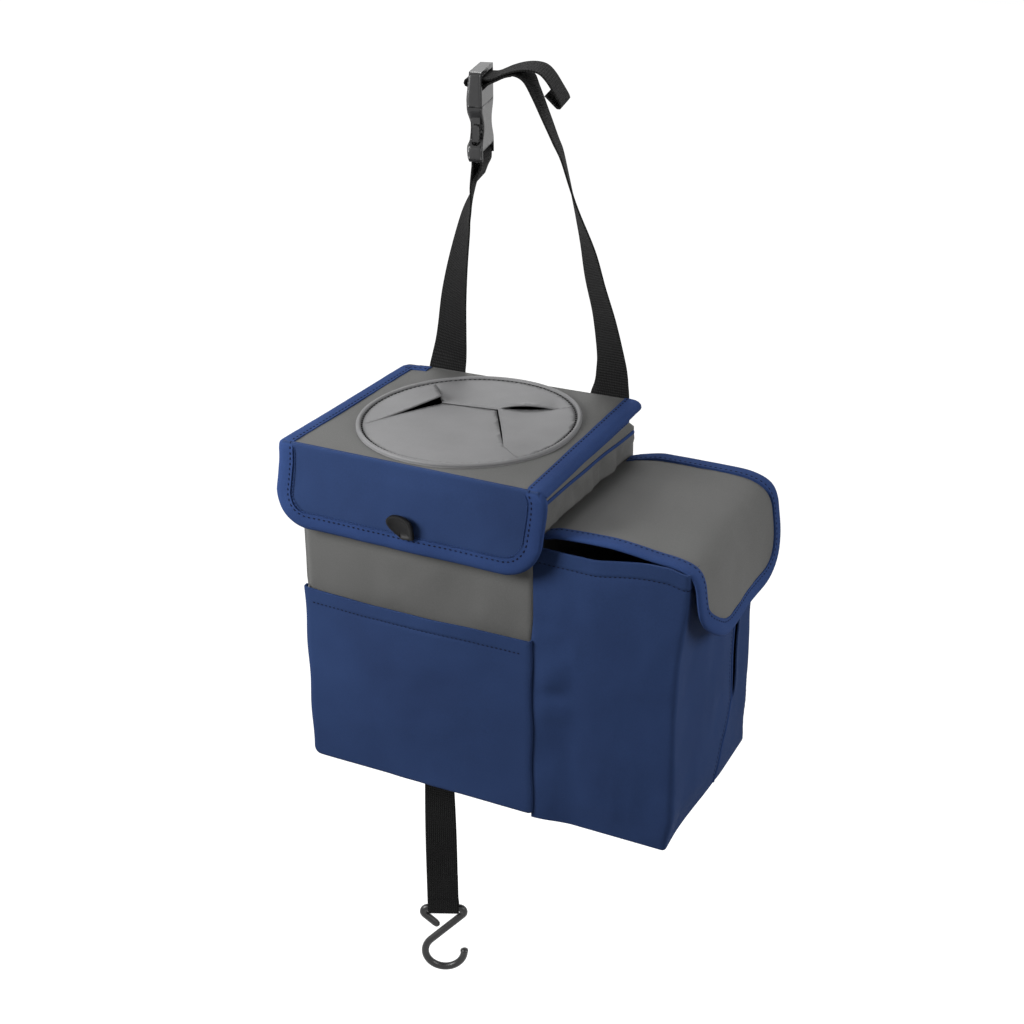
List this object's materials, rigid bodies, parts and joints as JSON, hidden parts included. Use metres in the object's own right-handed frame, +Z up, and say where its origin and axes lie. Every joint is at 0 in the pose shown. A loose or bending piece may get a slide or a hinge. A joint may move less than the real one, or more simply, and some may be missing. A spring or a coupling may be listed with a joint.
{
  "type": "car trash bin",
  "caption": "Hanging fabric car trash bin with a hinged lid, slit rubber mouth, tissue side pocket, front pocket, buckled headrest strap and lower hook.",
  "frame": {"origin": "centre of the main bin's flat back face, which rests against the seat back", "axes": "+Y is the outward normal of the back face, toward the seat; -Y is the front with the front pocket; +X is the side with the tissue pocket; +Z is up, along the straps"},
  "size_m": [0.3291, 0.2077, 0.7157],
  "materials": {
    "navy_fabric": "woven polyester, matt, navy blue",
    "grey_fabric": "woven polyester, matt, mid grey",
    "binding_tape": "ribbed binding tape, navy blue",
    "webbing": "ribbed polypropylene webbing, black",
    "lining": "coated leakproof lining, dark grey",
    "grip_patch": "hook-and-loop tape, black",
    "board": "sheet polyethylene stiffener",
    "membrane": "flexible matt sheet, light grey",
    "buckle_plastic": "moulded acetal, satin black",
    "hook_plastic": "moulded nylon, satin black"
  },
  "bodies": {
    "bin": {"front_panel": "grey_fabric", "back_panel": "grey_fabric", "left_panel": "grey_fabric", "right_panel": "grey_fabric", "bottom_panel": "grey_fabric", "front_board": "board", "back_board": "board", "left_board": "board", "right_board": "board", "bottom_board": "board", "inner_liner": "lining", "rim_tape": "binding_tape", "front_pocket": "navy_fabric", "loop_patch": "grip_patch", "side_pocket_front": "navy_fabric", "side_pocket_rear": "navy_fabric", "side_pocket_bottom": "navy_fabric", "strap_left": "webbing", "strap_right": "webbing", "bottom_strap": "webbing", "buckle_female": "buckle_plastic", "buckle_male": "buckle_plastic"},
    "lid": {"lid_top": "grey_fabric", "lid_board": "board", "lid_lining": "lining", "lid_front_flap": "navy_fabric", "lid_binding": "binding_tape", "slit_disc": "membrane", "pull_tab": "hook_plastic", "hook_patch": "grip_patch"},
    "tissue_flap": {"side_flap": "grey_fabric", "side_flap_binding": "binding_tape"},
    "prong_front": {"buckle_prong_front": "buckle_plastic"},
    "prong_rear": {"buckle_prong_rear": "buckle_plastic"},
    "seat_hook": {"hook": "hook_plastic"}
  },
  "joints": [
    {"name": "lid_hinge", "type": "hinge", "parent": "bin", "child": "lid", "pos_m": [0, -0.00505, 0.13125], "axis": [-1, 0, 0], "range_deg": [0, 75]},
    {"name": "tissue_flap_hinge", "type": "hinge", "parent": "bin", "child": "tissue_flap", "pos_m": [0.0966, -0.0835, 0.0915], "axis": [0, -1, 0], "range_deg": [0, 60]},
    {"name": "prong_front_squeeze", "type": "hinge", "parent": "bin", "child": "prong_front", "pos_m": [-0.02342, -0.01436, 0.3469], "axis": [0.9703, 0.2419, 0], "range_deg": [0, 7], "stiffness_Nm_per_rad": 0.4},
    {"name": "prong_rear_squeeze", "type": "hinge", "parent": "bin", "child": "prong_rear", "pos_m": [-0.03058, 0.01436, 0.3469], "axis": [-0.9703, -0.2419, 0], "range_deg": [0, 7], "stiffness_Nm_per_rad": 0.4},
    {"name": "hook_swing", "type": "hinge", "parent": "bin", "child": "seat_hook", "pos_m": [-0.00171, -0.13533, -0.275], "axis": [0.9063, 0.4226, 0], "range_deg": [-70, 70]}
  ]
}
